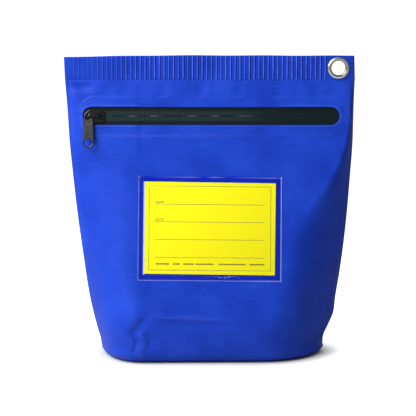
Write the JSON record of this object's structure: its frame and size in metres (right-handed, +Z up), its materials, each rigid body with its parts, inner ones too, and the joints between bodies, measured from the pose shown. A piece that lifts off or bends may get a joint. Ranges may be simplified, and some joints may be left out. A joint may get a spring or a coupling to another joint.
{
  "type": "cash deposit bag",
  "caption": "Soft stand-up bag for cash with a zip across its front, a clear pocket holding a card, and an eyelet at one end of its welded top band.",
  "frame": {"origin": "middle of the flat base, on the floor", "axes": "+Z up, -Y out of the front with the zip, +X to the right as the front is seen"},
  "size_m": [0.2326, 0.0838, 0.2435],
  "materials": {
    "coated_fabric": "satin",
    "zip_tape": "satin",
    "zip_coil": "matte",
    "zip_stop": "satin",
    "slider_paint": "gloss",
    "pull_paint": "satin",
    "nickel": "polished",
    "clear_film": "gloss",
    "weld": "gloss",
    "card": "matte"
  },
  "bodies": {
    "bag": {"front_panel": "coated_fabric", "back_panel": "coated_fabric", "base_panel": "coated_fabric", "zip_tape_upper": "zip_tape", "zip_tape_lower": "zip_tape", "zip_coil_upper": "zip_coil", "zip_coil_lower": "zip_coil", "zip_top_stop_upper": "zip_stop", "zip_top_stop_lower": "zip_stop", "zip_bottom_stop": "zip_stop", "eyelet": "nickel", "eyelet_washer": "nickel", "card_window": "clear_film", "window_border": "weld"},
    "slider": {"slider_body": "slider_paint"},
    "pull": {"pull_tab": "pull_paint"},
    "card": {"name_card": "card"}
  },
  "joints": [
    {"name": "zip_slide", "type": "slide", "parent": "bag", "child": "slider", "axis": [1, 0, 0], "range_m": [0, 0.183], "deforming": ["zip_tape_upper", "zip_tape_lower", "zip_coil_upper", "zip_coil_lower"]},
    {"name": "pull_swing", "type": "hinge", "parent": "slider", "child": "pull", "pos_m": [-0.0967, -0.0085, 0.1957], "axis": [0, 0.9778, -0.2096], "range_deg": [-40, 180]},
    {"name": "card_slide", "type": "slide", "parent": "bag", "child": "card", "axis": [0.0113, 0.2096, 0.9777], "range_m": [0, 0.075]}
  ]
}
